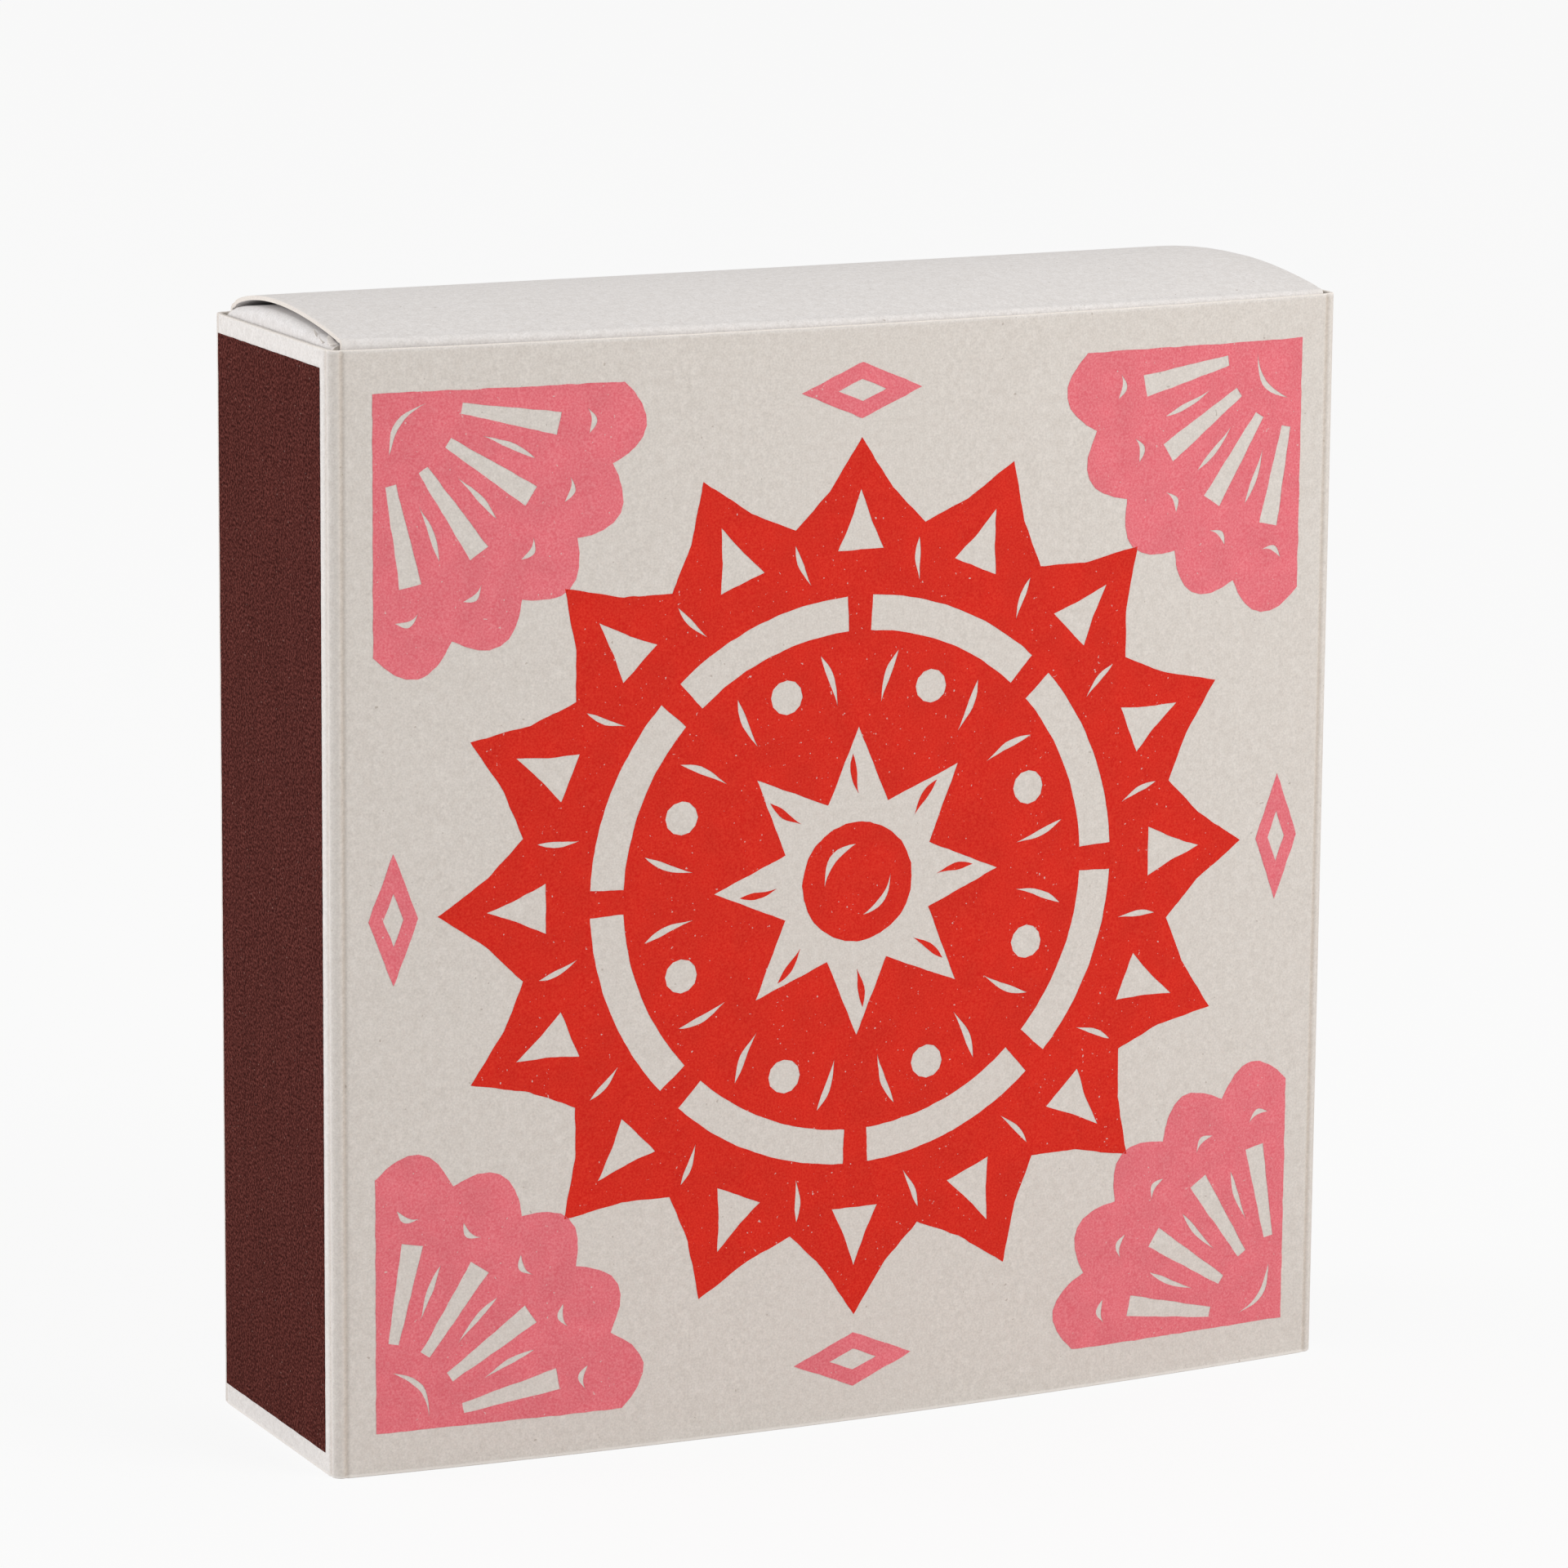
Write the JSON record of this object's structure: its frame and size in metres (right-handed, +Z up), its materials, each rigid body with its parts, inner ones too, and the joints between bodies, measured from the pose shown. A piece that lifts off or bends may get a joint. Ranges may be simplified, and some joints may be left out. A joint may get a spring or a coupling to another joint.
{
  "type": "matchbox",
  "caption": "Large square matchbox: a printed card sleeve with striking strips, and a folded card tray of long matches that slides out of it.",
  "frame": {"origin": "centre of the bounding box at the lower end, on the surface that the box stands on", "axes": "+Z up along the way the tray slides out, +X along the width to the right of the printed face, -Y out of the printed face"},
  "size_m": [0.1092, 0.034, 0.1132],
  "materials": {
    "sleeve_card": "matte coated card",
    "tray_card": "matte card",
    "striker_coat": "rough abrasive coat",
    "red_ink": "matte print",
    "pink_ink": "matte print",
    "aspen": "plain sawn splint",
    "dipped_head": "matte dipped compound"
  },
  "bodies": {
    "sleeve": {"sleeve": "sleeve_card", "striker_left": "striker_coat", "striker_right": "striker_coat", "print_sun": "red_ink", "print_sun_centre": "red_ink", "print_fan_upper_left": "pink_ink", "print_fan_upper_right": "pink_ink", "print_fan_lower_left": "pink_ink", "print_fan_lower_right": "pink_ink", "print_lozenge_top": "pink_ink", "print_lozenge_bottom": "pink_ink", "print_lozenge_left": "pink_ink", "print_lozenge_right": "pink_ink"},
    "tray": {"tray": "tray_card", "match_bed": "aspen", "match_splint_01": "aspen", "match_splint_02": "aspen", "match_splint_03": "aspen", "match_splint_04": "aspen", "match_splint_05": "aspen", "match_splint_06": "aspen", "match_splint_07": "aspen", "match_splint_08": "aspen", "match_splint_09": "aspen", "match_splint_10": "aspen", "match_splint_11": "aspen", "match_splint_12": "aspen", "match_splint_13": "aspen", "match_splint_14": "aspen", "match_splint_15": "aspen", "match_splint_16": "aspen", "match_splint_17": "aspen", "match_splint_18": "aspen", "match_splint_19": "aspen", "match_splint_20": "aspen", "match_splint_21": "aspen", "match_head_01": "dipped_head", "match_head_02": "dipped_head", "match_head_03": "dipped_head", "match_head_04": "dipped_head", "match_head_05": "dipped_head", "match_head_06": "dipped_head", "match_head_07": "dipped_head", "match_head_08": "dipped_head", "match_head_09": "dipped_head", "match_head_10": "dipped_head", "match_head_11": "dipped_head", "match_head_12": "dipped_head", "match_head_13": "dipped_head", "match_head_14": "dipped_head", "match_head_15": "dipped_head", "match_head_16": "dipped_head", "match_head_17": "dipped_head", "match_head_18": "dipped_head", "match_head_19": "dipped_head", "match_head_20": "dipped_head", "match_head_21": "dipped_head"}
  },
  "joints": [
    {"name": "tray_slide", "type": "slide", "parent": "sleeve", "child": "tray", "axis": [0, 0, 1], "range_m": [0, 0.09]}
  ]
}
